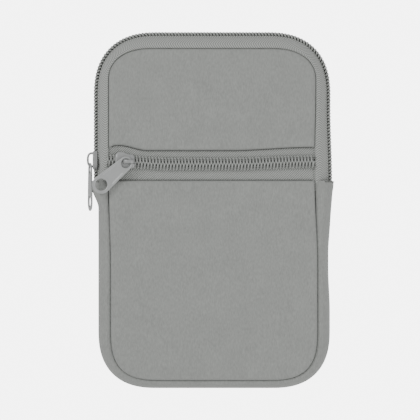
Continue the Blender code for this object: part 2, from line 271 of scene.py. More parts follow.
def thread_material(name, colour):
    """Spun sewing thread with a fine twist."""
    material, tree, shader = base_material(name, colour, 0.7, specular=0.4)
    strands = noise(tree, object_position(tree), 4000.0, 1.0)
    vary_colour(tree, shader, strands, colour, 0.75, 1.2)
    bump(tree, shader, strands, 0.00005, 0.5)
    return material


def metal_material(name, colour):
    """Die-cast zinc under satin paint, with faint orange peel and rubbed patches."""
    material, tree, shader = base_material(name, colour, 0.36, metallic=0.25, specular=0.6)
    position = object_position(tree)
    peel = noise(tree, position, 900.0, 2.0)
    rub = noise(tree, position, 260.0, 4.0)
    vary_colour(tree, shader, rub, colour, 0.88, 1.12)
    rough = combine(tree, "ADD", combine(tree, "MULTIPLY", rub, 0.22), 0.25)
    tree.links.new(rough, shader.inputs["Roughness"])
    bump(tree, shader, peel, 0.00003, 0.35)
    shader.inputs["Coat Weight"].default_value = 0.25
    shader.inputs["Coat Roughness"].default_value = 0.3
    return material


FABRIC = (0.315, 0.325, 0.310)
METAL = (0.42, 0.43, 0.425)
FABRIC_MAT = fabric_material("padded_fabric_look", FABRIC)
LINING_MAT = lining_material("lining_look", scaled(FABRIC, 0.75))
TAPE_MAT = tape_material("zip_tape_look", scaled(FABRIC, 1.22))
# The coil wire is a little lighter grey than the fabric, raised further to paint the light its wires
# catch.
COIL_MAT = coil_material("zip_coil_look", scaled(FABRIC, 1.22))
# The filler cord inside each coil, coloured very dark to paint the shade between the wire's turns.
CORE_SHADE_MAT = thread_material("coil_core_painted_shade_look", scaled(FABRIC, 0.25))
THREAD_MAT = thread_material("thread_look", scaled(FABRIC, 0.85))
# Very dark thread: the gusset's mouth stitches, and also the painted shade lines under the pocket's
# turned edges.
DARK_THREAD_AND_SHADE_MAT = thread_material("dark_thread_and_painted_shade_look", scaled(FABRIC, 0.3))
METAL_MAT = metal_material("painted_metal_look", METAL)
# The sliders' castings take a darker copy of the pulls' paint: painted shade on the sliders.
CASTING_SHADE_MAT = metal_material("painted_casting_shaded_look", scaled(METAL, 0.82))


# ---------------------------------------------------------------- mesh tools

def new_piece(name, points, faces, material, weave=None):
    """A smooth mesh object from points in metres, with its faces turned outwards."""
    mesh = bpy.data.meshes.new(name)
    mesh.from_pydata([tuple(p) for p in points], [], faces)
    if weave is not None:
        attribute = mesh.attributes.new("weave", "FLOAT_VECTOR", "POINT")
        attribute.data.foreach_set("vector", np.array(weave, np.float32).ravel())
    shape = bmesh.new()
    shape.from_mesh(mesh)
    bmesh.ops.recalc_face_normals(shape, faces=shape.faces)
    shape.to_mesh(mesh)
    shape.free()
    mesh.materials.append(material)
    mesh.shade_smooth()
    piece = bpy.data.objects.new(name, mesh)
    bpy.context.scene.collection.objects.link(piece)
    return piece


class Track:
    """A line in the x-z plane, sampled densely, with its outward direction on the left."""

    def __init__(self, points):
        self.points = np.array(points, float)
        steps = np.linalg.norm(np.diff(self.points, axis=0), axis=1)
        self.length_at = np.concatenate([[0.0], np.cumsum(steps)])
        self.length = self.length_at[-1]

    def point(self, distance):
        distance = min(max(distance, 0.0), self.length)
        return np.array([np.interp(distance, self.length_at, self.points[:, k]) for k in (0, 1)])

    def outward(self, distance):
        step = 0.6
        direction = self.point(distance + step) - self.point(distance - step)
        direction /= np.linalg.norm(direction)
        return np.array([-direction[1], direction[0]])

    def stations(self, start, end, spacing):
        count = max(2, int(round((end - start) / spacing)) + 1)
        return [(self.point(s), self.outward(s), s) for s in np.linspace(start, end, count)]


def corner(centre_x, centre_z, size, height, start, power, steps=40):
    """A quarter of a superellipse, turning clockwise from the start angle in degrees."""
    points = []
    for step in range(steps + 1):
        angle = math.radians(start - 90 * step / steps)
        cos, sin = math.cos(angle), math.sin(angle)
        points.append((centre_x + size * signed_power(cos, 2 / power),
                       centre_z + height * signed_power(sin, 2 / power)))
    return points


def over_the_top(left, right, end_z, top, size, height=None, power=CORNER_POWER):
    """A line up the left side, over the top and down the right side.

    size and height are the corners' extents along x and z; the height is the size if not given.
    """
    height = height or size
    line = [(left, end_z)]
    line += corner(left + size, top - height, size, height, 180, power)
    line += corner(right - size, top - height, size, height, 90, power)
    line.append((right, end_z))
    return line


def under_the_bottom(left, right, end_z, bottom, size, power=CORNER_POWER):
    """A line down the left side, under the bottom and up the right side; outwards is right."""
    mirrored = over_the_top(left, right, -end_z, -bottom, size, power=power)
    return [(x, -z) for x, z in mirrored]


def resample(line, spacing, closed):
    """Evenly spaced points along a line, or round it if it is closed."""
    line = np.array(line, float)
    if closed:
        line = np.vstack([line, line[:1]])
    track = Track(line)
    count = max(3, int(round(track.length / spacing)))
    ends = np.linspace(0, track.length, count + 1)
    return np.array([track.point(s) for s in (ends[:-1] if closed else ends)])


def distance_to_loops(points, loops):
    """Distance from each point to the nearest segment of any loop."""
    best = np.full(len(points), 1e9)
    for loop in loops:
        for a, b in zip(loop, np.roll(loop, -1, axis=0)):
            ab = b - a
            t = np.clip(((points - a) @ ab) / max(ab @ ab, 1e-12), 0, 1)
            nearest = a + t[:, None] * ab
            best = np.minimum(best, np.linalg.norm(points - nearest, axis=1))
    return best


def inside_loop(points, loop):
    """Even-odd test of points against a closed loop."""
    result = np.zeros(len(points), bool)
    x, z = points[:, 0], points[:, 1]
    for a, b in zip(loop, np.roll(loop, -1, axis=0)):
        crosses = (a[1] > z) != (b[1] > z)
        with np.errstate(divide="ignore", invalid="ignore"):
            edge_x = (b[0] - a[0]) * (z - a[1]) / (b[1] - a[1]) + a[0]
        result ^= crosses & (x < edge_x)
    return result


def loop_area(loop):
    """Area of a closed loop, which is positive if it runs counter-clockwise."""
    x, z = loop[:, 0], loop[:, 1]
    return 0.5 * np.sum(x * np.roll(z, -1) - np.roll(x, -1) * z)


def ccw(loop):
    """The loop, turned to run counter-clockwise."""
    return loop if loop_area(loop) > 0 else loop[::-1]


def inset_loop(loop, inset):
    """The loop moved to its left by inset, which is inwards for a counter-clockwise one."""
    direction = np.roll(loop, -1, axis=0) - np.roll(loop, 1, axis=0)
    direction /= np.linalg.norm(direction, axis=1)[:, None]
    return loop + inset * np.stack([-direction[:, 1], direction[:, 0]], axis=1)


def triangulated(outer, holes, insets, spacing):
    """Fills an outline with triangles that follow its edge and even out inside."""
    outer = ccw(outer)
    holes = [ccw(hole)[::-1] for hole in holes]
    loops = [outer, *holes]
    cloud = []
    for inset in insets:
        ring = np.vstack([inset_loop(loop, inset) for loop in loops])
        keep = inside_loop(ring, outer) & (distance_to_loops(ring, loops) > inset * 0.97)
        for hole in holes:
            keep &= ~inside_loop(ring, hole)
        cloud.append(ring[keep])
    low, high = outer.min(0), outer.max(0)
    columns = np.arange(low[0], high[0], spacing)
    rows = np.arange(low[1], high[1], spacing * 0.87)
    grid = np.array([(x + (k % 2) * spacing / 2, z) for k, z in enumerate(rows) for x in columns])
    keep = inside_loop(grid, outer)
    for hole in holes:
        keep &= ~inside_loop(grid, hole)
    keep &= distance_to_loops(grid, loops) > (insets[-1] if insets else 0) + spacing * 0.5
    cloud.append(grid[keep])
    points = [Vector(p) for loop in loops for p in loop] + [Vector(p) for p in np.vstack(cloud)]
    edges = []
    offset = 0
    for loop in loops:
        count = len(loop)
        edges += [(offset + k, offset + (k + 1) % count) for k in range(count)]
        offset += count
    verts, _, faces, *_ = geometry.delaunay_2d_cdt(points, edges, [], 0, 1e-6)
    verts = np.array([tuple(v) for v in verts])
    centres = np.array([verts[list(face)].mean(0) for face in faces])
    keep = inside_loop(centres, outer)
    for hole in holes:
        keep &= ~inside_loop(centres, hole)
    faces = [tuple(face) for face, kept in zip(faces, keep) if kept]
    return verts, faces, distance_to_loops(verts, loops)


def slab(name, outer, holes, insets, spacing, heights, to_frame, material):
    """A closed piece between two height fields over an outline.

    heights(points, edge_distance) gives the two heights; to_frame maps (a, b, height).
    """
    verts, faces, edge_distance = triangulated(outer, holes, insets, spacing)
    first, second = heights(verts, edge_distance)
    count = len(verts)
    points = [to_frame(a, b, h) for (a, b), h in zip(verts, first)]
    points += [to_frame(a, b, h) for (a, b), h in zip(verts, second)]
    used = {}
    for face in faces:
        for k in range(3):
            pair = (face[k], face[(k + 1) % 3])
            used[pair] = used.get(pair, 0) + 1
    sides = [(b, a, a + count, b + count) for a, b in used if (b, a) not in used]
    flipped = [tuple(count + k for k in reversed(face)) for face in faces]
    weave = [(a, b, 0.0) for a, b in verts] * 2
    return new_piece(name, points, [*faces, *flipped, *sides], material, weave)


def ring_faces(rings, size, start=0):
    """Faces of a closed tube through rings of points, whose numbers count from start."""
    faces = []
    for ring in range(rings - 1):
        for k in range(size):
            a, b = start + ring * size + k, start + ring * size + (k + 1) % size
            faces.append((a, b, b + size, a + size))
    faces.append(tuple(range(start + size - 1, start - 1, -1)))
    faces.append(tuple(range(start + (rings - 1) * size, start + rings * size)))
    return faces


def sweep(name, stations, section, material, stretch=1.0):
    """Carries a closed section of (outward, y) points along the stations.

    stretch widens the weave across the piece.
    """
    points = []
    weave = []
    for position, outward, distance in stations:
        ring = section(position, outward, distance)
        across = 0.0
        previous = ring[0]
        for d, y in ring:
            across += math.hypot(d - previous[0], y - previous[1]) / stretch
            previous = (d, y)
            points.append(place(position[0] + outward[0] * d, y, position[1] + outward[1] * d))
            weave.append((distance, across, 0.0))
    rings = len(stations)
    return new_piece(name, points, ring_faces(rings, len(points) // rings), material, weave)


def tube(centres, radius, sides, start=0):
    """Points and faces of a closed tube along centres; face numbers count from start."""
    centres = np.array(centres, float)
    tangents = np.gradient(centres, axis=0)
    tangents /= np.linalg.norm(tangents, axis=1)[:, None]
    normal = np.cross(tangents[0], (0.3, 0.5, 0.81))
    points = []
    for centre, tangent in zip(centres, tangents):
        normal = normal - tangent * (normal @ tangent)
        normal /= np.linalg.norm(normal)
        binormal = np.cross(tangent, normal)
        for k in range(sides):
            angle = 2 * math.pi * k / sides
            points.append(centre + radius * (math.cos(angle) * normal + math.sin(angle) * binormal))
    return points, ring_faces(len(centres), sides, start)


def tubes(name, lines, radius, sides, material):
    """One object of several closed tubes, from lines of points in metres."""
    points, faces = [], []
    for line in lines:
        more, their_faces = tube(line, radius * MM, sides, len(points))
        points += more
        faces += their_faces
    return new_piece(name, points, faces, material)


def place_on(piece, slot, *nodes, body="pouch", folds=False):
    """Hides the nodes the piece stands for and hangs it on the body it rides, or, where it folds, bakes
    its placing into its mesh and leaves it unattached.
    """
    if nodes:
        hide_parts(*nodes)
    if folds:
        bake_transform(piece)
    else:
        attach(piece, body)


# ---------------------------------------------------------------- padded panels

EDGE_INSETS = [0.1, 0.24, 0.45, 0.8, 1.4, 2.4, 3.8, 5.6]
EDGE_TURN = 1.2
EDGE_TURN_REACH = 0.3
PUCKER_DEPTH = 0.16
PUCKER_REACH = 0.8
PANEL_DEPTH = 1.9
PANEL_SPACING = 2.6
SWELL_SPACING = 4.0
SWELL_FRAMES = 20
OUTLINE_SPACING = 1.1
SEAM_SIDE_TOP = 138.0
SEAM_TOP_DROP = 0.3
SEAM_LEFT_INSET = 0.2
SEAM_PINCH = 0.45
BACK_JOIN_Z = 98.0


def pushed_out(name, outer, target):
    """Lets a sheet pinned round its edge swell under pressure; returns its rise as a function."""
    verts, faces, edge_distance = triangulated(outer, [], [], SWELL_SPACING)
    sheet = new_piece(name, [place(x, 0, z) for x, z in verts], faces, FABRIC_MAT)
    pins = sheet.vertex_groups.new(name="pins")
    pins.add([int(k) for k in np.nonzero(edge_distance < 0.01)[0]], 1.0, "REPLACE")
    cloth = sheet.modifiers.new("swell", "CLOTH")
    settings = cloth.settings
    settings.quality = 5
    settings.mass = 0.25
    settings.tension_stiffness = 12.0
    settings.compression_stiffness = 12.0
    settings.bending_stiffness = 0.8
    settings.vertex_group_mass = "pins"
    settings.use_pressure = True
    settings.uniform_pressure_force = 4.0
    settings.shrink_min = -0.004
    settings.effector_weights.gravity = 0.0
    scene = bpy.context.scene
    for number in range(1, SWELL_FRAMES + 1):
        scene.frame_set(number)
    evaluated = sheet.evaluated_get(bpy.context.evaluated_depsgraph_get())
    lift = np.array([abs(v.co.y - MID_Y) / MM for v in evaluated.data.vertices])
    lift *= target / max(lift.max(), 1e-6)
    surface = [Vector((x, z, h)) for (x, z), h in zip(verts, lift)]
    tree = BVHTree.FromPolygons(surface, faces)
    scene.frame_set(1)
    bpy.data.objects.remove(sheet)

    def rise(points):
        found = []
        for x, z in points:
            hit = tree.ray_cast(Vector((x, z, 50.0)), Vector((0, 0, -1)))[0]
            found.append(hit.z if hit else 0.0)
        return np.array(found)
    return rise


def edge_distance_along(loop):
    """A function that gives how far round the loop each point's nearest edge point is."""
    lengths = np.concatenate([[0.0], np.cumsum(np.linalg.norm(np.diff(loop, axis=0), axis=1))])

    def along(points):
        nearest = [int(np.argmin(((loop - p) ** 2).sum(1))) for p in points]
        return lengths[nearest]
    return along


def panel_shape(outer, target, name):
    """Outer and inner heights of a padded panel: turned edges, puckers at stitches, a soft rise."""
    rise = pushed_out(name, outer, target)
    along = edge_distance_along(outer)

    def heights(points, edge):
        turned = EDGE_TURN * np.exp(-(edge / EDGE_TURN_REACH) ** 1.2)
        pucker = PUCKER_DEPTH * (0.5 + 0.5 * np.cos(2 * math.pi * along(points) / STITCH_PITCH))
        pucker *= np.exp(-edge / PUCKER_REACH)
        front = FACE_Y - turned - pucker + rise(points)
        return front, np.full(len(points), FACE_Y - PANEL_DEPTH)
    return heights


def panel(name, outer, target, sign, body_node, folds=False):
    """A padded panel; sign is -1 on the front and 1 on the back."""
    heights = panel_shape(outer, target, name + "_swell")
    piece = slab(name, outer, [], EDGE_INSETS, PANEL_SPACING, heights,
                 lambda x, z, h: place(x, sign * h, z), FABRIC_MAT)
    place_on(piece, "padded_fabric", body_node, folds=folds)


WINDOW_DIP = 2.25
WINDOW_LEFT_RISE = 2.4
WINDOW_RIGHT_RISE = 1.5
WINDOW_TURN_X = -44.2
WINDOW_TURN_LENGTH = 3.9
WINDOW_TURN_DROP = 2.5


def right_end(x):
    """0 along most of the front pocket's zip, rising to 1 at its right end."""
    return eased(x, 8, 46)


def window_edge(x):
    """Height of the upper panel's lower edge: it dips between its ends, and its left end turns down."""
    left = WINDOW_LEFT_RISE * (1 - eased(x, -43, -30))
    height = FOLD_Z - WINDOW_DIP + left + WINDOW_RIGHT_RISE * right_end(x)
    turn = min(max((WINDOW_TURN_X - x) / WINDOW_TURN_LENGTH, 0.0), 1.0)
    return height - WINDOW_TURN_DROP * (1 - math.sqrt(1 - turn ** 2))


def seam_x(side, z):
    """The side seams sway a little: in at the gusset's mouth, and to the right below it."""
    low = eased(POCKET_TOP - z, 0, 40)
    if side < 0:
        return -SEAM_HALF + SEAM_LEFT_INSET + (SEAM_HALF - LOW_SEAM_LEFT - SEAM_LEFT_INSET) * low
    mouth = SEAM_HALF - SEAM_PINCH * (1 - eased(z, 112, 135))
    return mouth + (LOW_SEAM_RIGHT - mouth) * low


def over_the_seam(end_z):
    """The seam from its left side at end_z over the top to its right side at end_z."""
    line = over_the_top(-SEAM_HALF + SEAM_LEFT_INSET, SEAM_HALF, SEAM_SIDE_TOP,
                        SEAM_TOP - SEAM_TOP_DROP, SEAM_CORNER, SEAM_CORNER_HEIGHT, SEAM_POWER)
    heights = np.linspace(end_z, SEAM_SIDE_TOP - 1, 30)
    return [(seam_x(-1, z), z) for z in heights] + line + [(seam_x(1, z), z) for z in heights[::-1]]


def under_the_seam(end_z):
    """The seam from its left side at end_z under the bottom to its right side at end_z."""
    side_end = SEAM_BOTTOM + LOW_CORNER + 1
    line = under_the_bottom(-LOW_SEAM_LEFT, LOW_SEAM_RIGHT, side_end, SEAM_BOTTOM, LOW_CORNER,
                            LOW_CORNER_POWER)
    heights = np.linspace(end_z, side_end + 1, 30)
    return [(seam_x(-1, z), z) for z in heights] + line + [(seam_x(1, z), z) for z in heights[::-1]]


def upper_outline():
    line = over_the_seam(window_edge(SEAM_HALF))
    line[0] = (line[0][0], window_edge(line[0][0]))
    xs = np.linspace(line[-1][0], line[0][0], 90)[1:-1]
    line += [(x, window_edge(x)) for x in xs]
    return resample(line, OUTLINE_SPACING, True)


def lower_outline():
    return resample(under_the_seam(POCKET_TOP), OUTLINE_SPACING, True)


def back_outline():
    line = over_the_seam(BACK_JOIN_Z + 1) + under_the_seam(BACK_JOIN_Z - 1)[::-1]
    return resample(line, OUTLINE_SPACING, True)


UPPER = upper_outline()
LOWER = lower_outline()
WHOLE = back_outline()

panel("upper_front_pad", UPPER, 0.7, -1, "upper_front_panel", folds=True)
panel("lower_front_pad", LOWER, 1.0, -1, "lower_front_panel")
panel("back_pad", WHOLE, 0.5, 1, "back_panel")


# Size and place of the dark lines under the pocket's turned edges, which paint the shade in the gaps
# there.
EDGE_SHADE_DEPTH = 1.3
EDGE_SHADE_DROP = 0.08
EDGE_SHADE_RADIUS = 0.22
EDGE_SHADE_INSET = 1.5


def make_edge_shade_lines():
    """A dark line sunk under each turned edge that faces the front pocket's zip, drawn as a thread:
    painted shade in the gap under the edge.
    """
    end = SEAM_HALF - EDGE_SHADE_INSET
    xs = np.linspace(-end, end, 90)
    depth = -FACE_Y + EDGE_SHADE_DEPTH
    window = [place(x, depth, window_edge(x) - EDGE_SHADE_DROP) for x in xs]
    pocket = [place(x, depth, POCKET_TOP + EDGE_SHADE_DROP) for x in xs]
    for word, line, folds in (("window", window, True), ("pocket", pocket, False)):
        thread = tubes(f"{word}_edge_painted_shade", [line], EDGE_SHADE_RADIUS, 6, DARK_THREAD_AND_SHADE_MAT)
        place_on(thread, "padded_fabric", folds=folds)


make_edge_shade_lines()


# ---------------------------------------------------------------- gusset

REACH_LIMIT = 12.0
SEAM_GAP = 0.1
GUSSET_THICKNESS = 1.1
GUSSET_HEM_EXTRA = 0.5
GUSSET_MIDDLE = -0.55
GUSSET_SIDE_STEPS = 28
GUSSET_PUCKER = 0.10
# Share of the full thickness at each distance from the gusset's rounded ends.
HEM_SHARES = {0.0: 0.02, 0.1: 0.5, 0.3: 0.8, 0.6: 0.97}
MOUTH_STITCH_LENGTH = 0.85
MOUTH_STITCH_PITCH = 1.3
MOUTH_STITCH_RADIUS = 0.24
MOUTH_STITCH_INSET = 0.5


def reach(position, outward, loop):
    """Distance inwards from a rim point to a seam loop."""
    best = REACH_LIMIT
    across = -outward
    for a, b in zip(loop, np.roll(loop, -1, axis=0)):
        edge = b - a
        cross = across[0] * edge[1] - across[1] * edge[0]
        if abs(cross) < 1e-9:
            continue
        offset = a - position
        t = (offset[0] * edge[1] - offset[1] * edge[0]) / cross
        u = (offset[0] * across[1] - offset[1] * across[0]) / cross
        if 0 <= u <= 1 and 0 < t < best:
            best = t
    return best


def gusset_flare(side, z):
    """How far the gusset's mouth stands out beyond its lower part."""
    if side < 0:
        return 3.0 * eased(z, 83.0, 92.5)
    waist = eased(z, 35.0, 55.0) * (1 - eased(z, 62.0, 76.0))
    return 1.65 * eased(z, 70.0, 100.0) - 0.7 * waist


def make_gusset():
    """The strip round the sides and the bottom, from the front seam over the rim to the back one."""
    line = under_the_bottom(-GUSSET_LEFT, GUSSET_RIGHT, GUSSET_TOP + 0.7, GUSSET_BOTTOM,
                            GUSSET_CORNER)
    track = Track(line)
    middle = np.linspace(1.0, track.length - 1.0, 200)
    distances = [*HEM_SHARES, *middle, *[track.length - hem for hem in reversed(HEM_SHARES)]]
    stations = [(track.point(s), -track.outward(s), s) for s in distances]

    def section(position, outward, s):
        depth = reach(position, outward, WHOLE) - SEAM_GAP
        flare = gusset_flare(math.copysign(1, position[0]), position[1])
        end = min(s, track.length - s)
        share = 1.0
        for hem, hem_share in HEM_SHARES.items():
            if abs(end - hem) < 1e-6:
                share = hem_share
        mouth = 1 - eased(end, 6.0, 22.0)
        thickness = (GUSSET_THICKNESS + GUSSET_HEM_EXTRA * (1 - eased(end, 3.0, 6.0))) * share
        pucker = GUSSET_PUCKER * math.cos(2 * math.pi * s / STITCH_PITCH)
        outer, inner = [], []
        for k in range(GUSSET_SIDE_STEPS + 1):
            angle = math.pi * (k / GUSSET_SIDE_STEPS - 0.5)
            cos, sin = math.cos(angle), math.sin(angle)
            tuck = 0.25 if sin > 0 else -0.25 * mouth
            bulge = (depth + tuck + flare) * (1 - abs(cos) ** (0.85 - 0.3 * mouth))
            d = flare - bulge
            y = (FACE_Y - 0.7 + 0.55 * mouth) * signed_power(sin, 1.04)
            edge = math.exp(-((1 - abs(sin)) / 0.012))
            y -= math.copysign((0.6 + 0.35 * mouth + pucker * 0.8) * edge, sin)
            outer.append((d + (GUSSET_MIDDLE + thickness / 2) * cos, y))
            inner.append((d + (GUSSET_MIDDLE - thickness / 2) * cos - 0.02,
                          y - math.copysign(min(thickness, 0.7) * abs(sin), sin)))
        return outer + inner[::-1]

    piece = sweep("gusset_strip", stations, section, FABRIC_MAT)
    place_on(piece, "padded_fabric", "gusset")
    make_mouth_stitches(track, section)


def make_mouth_stitches(track, section):
    """A row of stitches round each end of the gusset, a little inside its edge."""
    dashes = []
    for s in (MOUTH_STITCH_INSET, track.length - MOUTH_STITCH_INSET):
        position, outward = track.point(s), -track.outward(s)
        rim = Track(section(position, outward, s)[2:27])
        at = 0.6
        while at < rim.length - 1.2:
            dash = []
            for share in np.linspace(0, 1, 6):
                d, y = rim.point(at + MOUTH_STITCH_LENGTH * share)
                lift = 0.12 * math.sin(math.pi * share) - 0.04
                sideways = abs(y) / 8.5
                d += lift * max(0.0, 1 - sideways)
                y += math.copysign(lift * sideways, y)
                dash.append(place(position[0] + outward[0] * d, y, position[1]))
            dashes.append(dash)
            at += MOUTH_STITCH_PITCH
    stitches = tubes("gusset_mouth_stitches", dashes, MOUTH_STITCH_RADIUS, 5, DARK_THREAD_AND_SHADE_MAT)
    place_on(stitches, "padded_fabric")


make_gusset()


# ---------------------------------------------------------------- main zip

RIM_END = GUSSET_TOP - 4
RIM_LEFT = -ZIP_HALF - 0.1
RIM_RIGHT = ZIP_HALF + 0.3
RIM_LEAN = 0.75
RIM_SPACING = 1.3
COIL_START = 3.2
TAPE_WEAVE_STRETCH = 1.55
TAPE_TUCK = 0.07
# The tape from the chain to the seam: how far in, as a share of the way, and how far from mid-depth.
TAPE_BEND = [(-0.05, 0.5), (-0.05, 2.5), (0.04, 2.9), (0.12, 3.25), (0.17, 4.0), (0.25, 5.3),
             (0.42, 6.8), (0.64, 7.6), (0.84, 7.95), (0.93, 7.95), (0.975, 7.6), (1.0, 7.0), (1.1, 6.7)]
THREAD_ROWS = (1.55, 2.15)
THREAD_OUT = COIL_MIDDLE + COIL_RISE + 0.3
THREAD_RADIUS = 0.13


def rim_line():
    """The zip's line, whose right side leans out towards the gusset's mouth."""
    line = over_the_top(RIM_LEFT, RIM_RIGHT, RIM_END, ZIP_TOP, ZIP_CORNER)
    heights = np.linspace(132, RIM_END, 30)
    return line[:-1] + [(RIM_RIGHT + RIM_LEAN * (1 - eased(z, 96, 130)), z) for z in heights]


RIM = Track(rim_line())


def tape_section(sign):
    """Tape from the slot in the chain, round the edge, to under the panel's seam."""
    def section(position, outward, _):
        depth = reach(position, outward, WHOLE) - SEAM_GAP
        tuck = 1 - eased(position[1], 92.5, 99.5)
        outer = [(-share * depth, y * (1 - TAPE_TUCK * tuck)) for share, y in TAPE_BEND]
        inner = []
        for k, (d, y) in enumerate(outer):
            before = outer[max(k - 1, 0)]
            after = outer[min(k + 1, len(outer) - 1)]
            run = math.hypot(after[0] - before[0], after[1] - before[1])
            inner.append((d - TAPE_THICKNESS * (after[1] - before[1]) / run,
                          y + TAPE_THICKNESS * (after[0] - before[0]) / run))
        return [(d, sign * y) for d, y in outer + inner[::-1]]
    return section


def coil_line(to_frame, length, sign, hand, phase):
    """The helix of one coil; to_frame maps (along, across, out) in millimetres."""
    turns = int(length / COIL_PITCH)
    per_turn = 12
    middle = (COIL_REACH - COIL_OVERLAP) / 2
    swing = (COIL_REACH + COIL_OVERLAP) / 2 - WIRE_RADIUS
    line = []
    for k in range(turns * per_turn + 1):
        angle = 2 * math.pi * k / per_turn
        along = (k / per_turn + phase + COIL_LEAN * math.sin(2 * angle)) * COIL_PITCH
        cos, sin = math.cos(angle), math.sin(angle)
        across = sign * (middle + swing * signed_power(cos, 0.75))
        out = COIL_MIDDLE + hand * COIL_RISE * sin
        line.append(to_frame(along, across, out))
    return line


def core_line(to_frame, length, sign):
    """The cord that fills the coil, coloured dark to paint the shade seen between its turns."""
    across = sign * (COIL_REACH - COIL_OVERLAP + 0.5) / 2
    return [to_frame(along, across, COIL_MIDDLE - 0.06) for along in np.arange(0.2, length - 0.2, 0.9)]


def thread_line(to_frame, length, across, out):
    """A row of machine stitches that holds the coil down."""
    steps = int(length / COIL_PITCH * 6)
    line = []
    for k in range(steps + 1):
        along = k * COIL_PITCH / 6
        lift = 0.16 * math.cos(2 * math.pi * along / COIL_PITCH)
        line.append(to_frame(along, across, out + lift))
    return line


def rim_place(along, across, out):
    position, outward = RIM.point(along + COIL_START), RIM.outward(along + COIL_START)
    return place(position[0] + outward[0] * out, across, position[1] + outward[1] * out)


def make_chain_half(name, to_frame, length, sign, hand, phase, nodes, folds=False):
    """One coil of a chain, with the cord inside it and the stitches that hold it down."""
    wire = coil_line(to_frame, length, sign, hand, phase)
    piece = tubes(name + "_wire", [wire], WIRE_RADIUS, 7, COIL_MAT)
    place_on(piece, "zip_coil", *nodes, folds=folds)
    piece = tubes(name + "_core", [core_line(to_frame, length, sign)], CORE_RADIUS, 8, CORE_SHADE_MAT)
    place_on(piece, "zip_coil", folds=folds)
    rows = [thread_line(to_frame, length, sign * across, THREAD_OUT) for across in THREAD_ROWS]
    piece = tubes(name + "_thread", rows, THREAD_RADIUS, 5, THREAD_MAT)
    place_on(piece, "zip_tape", folds=folds)


def make_main_zip():
    """The two halves of the main zip; the front one, at the flap's fold, is left unattached."""
    stations = RIM.stations(0.0, RIM.length, RIM_SPACING)
    length = RIM.length - 2 * COIL_START
    halves = {"front": ["main_zip_front", "main_zip_left_end", "main_zip_right_end"],
              "rear": ["main_zip_rear"]}
    for word, sign, phase in (("front", -1, 0.0), ("rear", 1, 0.5)):
        name = f"main_zip_{word}"
        folds = word == "front"
        tape = sweep(name + "_tape_cloth", stations, tape_section(sign), TAPE_MAT, TAPE_WEAVE_STRETCH)
        place_on(tape, "zip_tape", *[part + "_tape" for part in halves[word]], folds=folds)
        coils = [part + "_coil" for part in halves[word]]
        make_chain_half(name + "_coil", rim_place, length, sign, -1, phase, coils, folds)


make_main_zip()


# ---------------------------------------------------------------- pocket zip

POCKET_LEFT = -SEAM_HALF - 0.6
POCKET_RIGHT = SEAM_HALF + 0.4
CHAIN_DIP = 0.25
CHAIN_LEFT_RISE = 1.6
CHAIN_RIGHT_RISE = 1.05
CHAIN_SLOT = 0.45
UPPER_TAPE_WIDTH = 8.9
LOWER_TAPE_WIDTH = 10.2
TAPE_RIPPLE = 0.04
TAPE_SINK = 0.1


def chain_height(x):
    """Height of the chain's middle, which sags between its ends."""
    left = CHAIN_LEFT_RISE * (1 - eased(x, -52, -18))
    return CHAIN_Z - CHAIN_DIP + left + CHAIN_RIGHT_RISE * right_end(x)


def pocket_place(along, across, out):
    x = POCKET_LEFT + along
    return place(x, TAPE_FACE_Y - out, chain_height(x) + across)


def make_pocket_tape(name, node, low_offset, high_offset):
    """A straight tape; the offsets from the chain's middle give its two edges."""
    xs = np.linspace(POCKET_LEFT, POCKET_RIGHT, 60)
    lower = [(x, chain_height(x) + low_offset(x)) for x in xs]
    upper = [(x, chain_height(x) + high_offset(x)) for x in xs[::-1]]
    outer = resample(lower + upper, 1.5, True)

    def heights(points, edge):
        ripple = TAPE_RIPPLE * np.sin(points[:, 0] / 11.0) * np.minimum(edge, 1.5)
        front = -TAPE_FACE_Y + ripple - TAPE_SINK
        return front, front - TAPE_THICKNESS

    piece = slab(name, outer, [], [0.5, 1.2], 1.8, heights,
                 lambda x, z, h: place(x, -h, z), TAPE_MAT)
    place_on(piece, "zip_tape", node)


def rounded_end(x):
    """How much the upper tape's outer edge drops at its left end, where its corner is turned."""
    share = min(max((x - POCKET_LEFT) / 4.0, 0.0), 1.0)
    return 3.2 * (1 - math.sqrt(1 - (1 - share) ** 2))


def make_pocket_zip():
    """Two tapes that meet under the chain, and the chain's two coils."""
    length = POCKET_RIGHT - POCKET_LEFT
    make_pocket_tape("pocket_zip_upper_tape_cloth", "pocket_zip_upper_tape",
                     lambda x: CHAIN_SLOT, lambda x: UPPER_TAPE_WIDTH - rounded_end(x))
    make_pocket_tape("pocket_zip_lower_tape_cloth", "pocket_zip_lower_tape",
                     lambda x: -LOWER_TAPE_WIDTH, lambda x: -CHAIN_SLOT)
    for word, sign, phase in (("upper", 1, 0.0), ("lower", -1, 0.5)):
        name = f"pocket_zip_{word}_coil"
        make_chain_half(name, pocket_place, length, sign, 1, phase, [name])


make_pocket_zip()


# ---------------------------------------------------------------- linings inside

LINING_THICKNESS = 0.4
LINING_INSET = 1.2
LINING_RIPPLE = 0.10
HEM_EXTRA = 0.10
HEM_WIDTH = 2.2
SLIP_EDGE_DIP = 0.8
DIVIDER_CORNER = 24.0


def flat_sheet(name, node, outer, y, body="pouch", folds=False):
    """A thin woven sheet with a turned, slightly thicker edge."""
    def heights(points, edge):
        hem = HEM_EXTRA * np.exp(-(edge / HEM_WIDTH) ** 4)
        ripple = LINING_RIPPLE * np.sin(points[:, 0] / 7.0) * np.sin(points[:, 1] / 9.0)
        ripple *= np.minimum(edge / 8.0, 1.0)
        half = LINING_THICKNESS / 2 + hem
        return y + ripple - half, y + ripple + half

    piece = slab(name, outer, [], [0.8, 2.0], 4.0, heights,
                 lambda x, z, h: place(x, h, z), LINING_MAT)
    place_on(piece, "lining_fabric", node, body=body, folds=folds)
    float(abs(loop_area(outer))) * MM * MM


def node_middle_y(node):
    """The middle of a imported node's depth."""
    low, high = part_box(node)
    return ((low.y + high.y) / 2 - MID_Y) / MM


